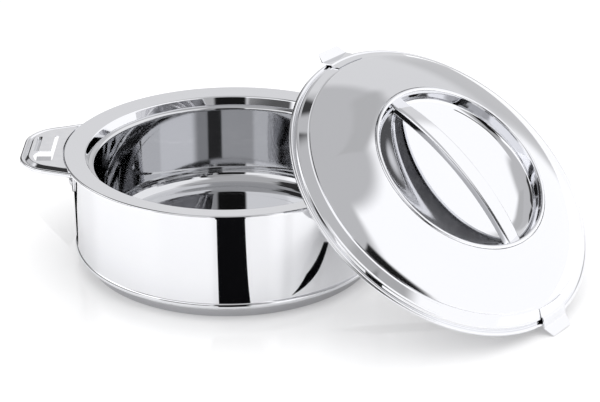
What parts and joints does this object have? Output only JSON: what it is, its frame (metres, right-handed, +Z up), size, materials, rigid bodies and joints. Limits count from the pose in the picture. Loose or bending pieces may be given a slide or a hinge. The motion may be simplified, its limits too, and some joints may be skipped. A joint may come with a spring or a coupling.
{
  "type": "insulated casserole",
  "caption": "Round double-walled steel serving casserole with two pressed handles and a loose insulated lid that leans on one handle.",
  "frame": {"origin": "centre of the foot ring, on the table", "axes": "+X through the two handles, towards the one that the lid leans on; -Y is the front; +Z up"},
  "size_m": [0.4209, 0.3049, 0.1623],
  "materials": {
    "pot_steel": "polished",
    "foam": "matte",
    "base_steel": "satin",
    "plug_rubber": "matte",
    "handle_steel": "polished",
    "rivet_steel": "polished",
    "lid_steel": "polished",
    "cover_steel": "satin",
    "grip_steel": "polished"
  },
  "bodies": {
    "pot": {"outer_casing": "pot_steel", "top_collar": "pot_steel", "inner_liner": "pot_steel", "body_insulation": "foam", "base_plate": "base_steel", "base_filler_plug": "plug_rubber", "left_handle": "handle_steel", "right_handle": "handle_steel", "left_handle_bracket": "handle_steel", "right_handle_bracket": "handle_steel", "left_handle_rivets": "rivet_steel", "right_handle_rivets": "rivet_steel"},
    "lid": {"lid_dome": "lid_steel", "lid_rim": "lid_steel", "lid_inner_cover": "cover_steel", "lid_insulation": "foam", "handle_dish": "lid_steel", "grip_bar": "grip_steel", "grip_underside": "grip_steel", "upper_lock_tab": "lid_steel", "lower_lock_tab": "lid_steel"}
  },
  "joints": [
    {"name": "lid_lift", "type": "slide", "parent": "pot", "child": "lid", "axis": [0.4425, -0.4141, 0.7955], "range_m": [0, 0.13]}
  ]
}
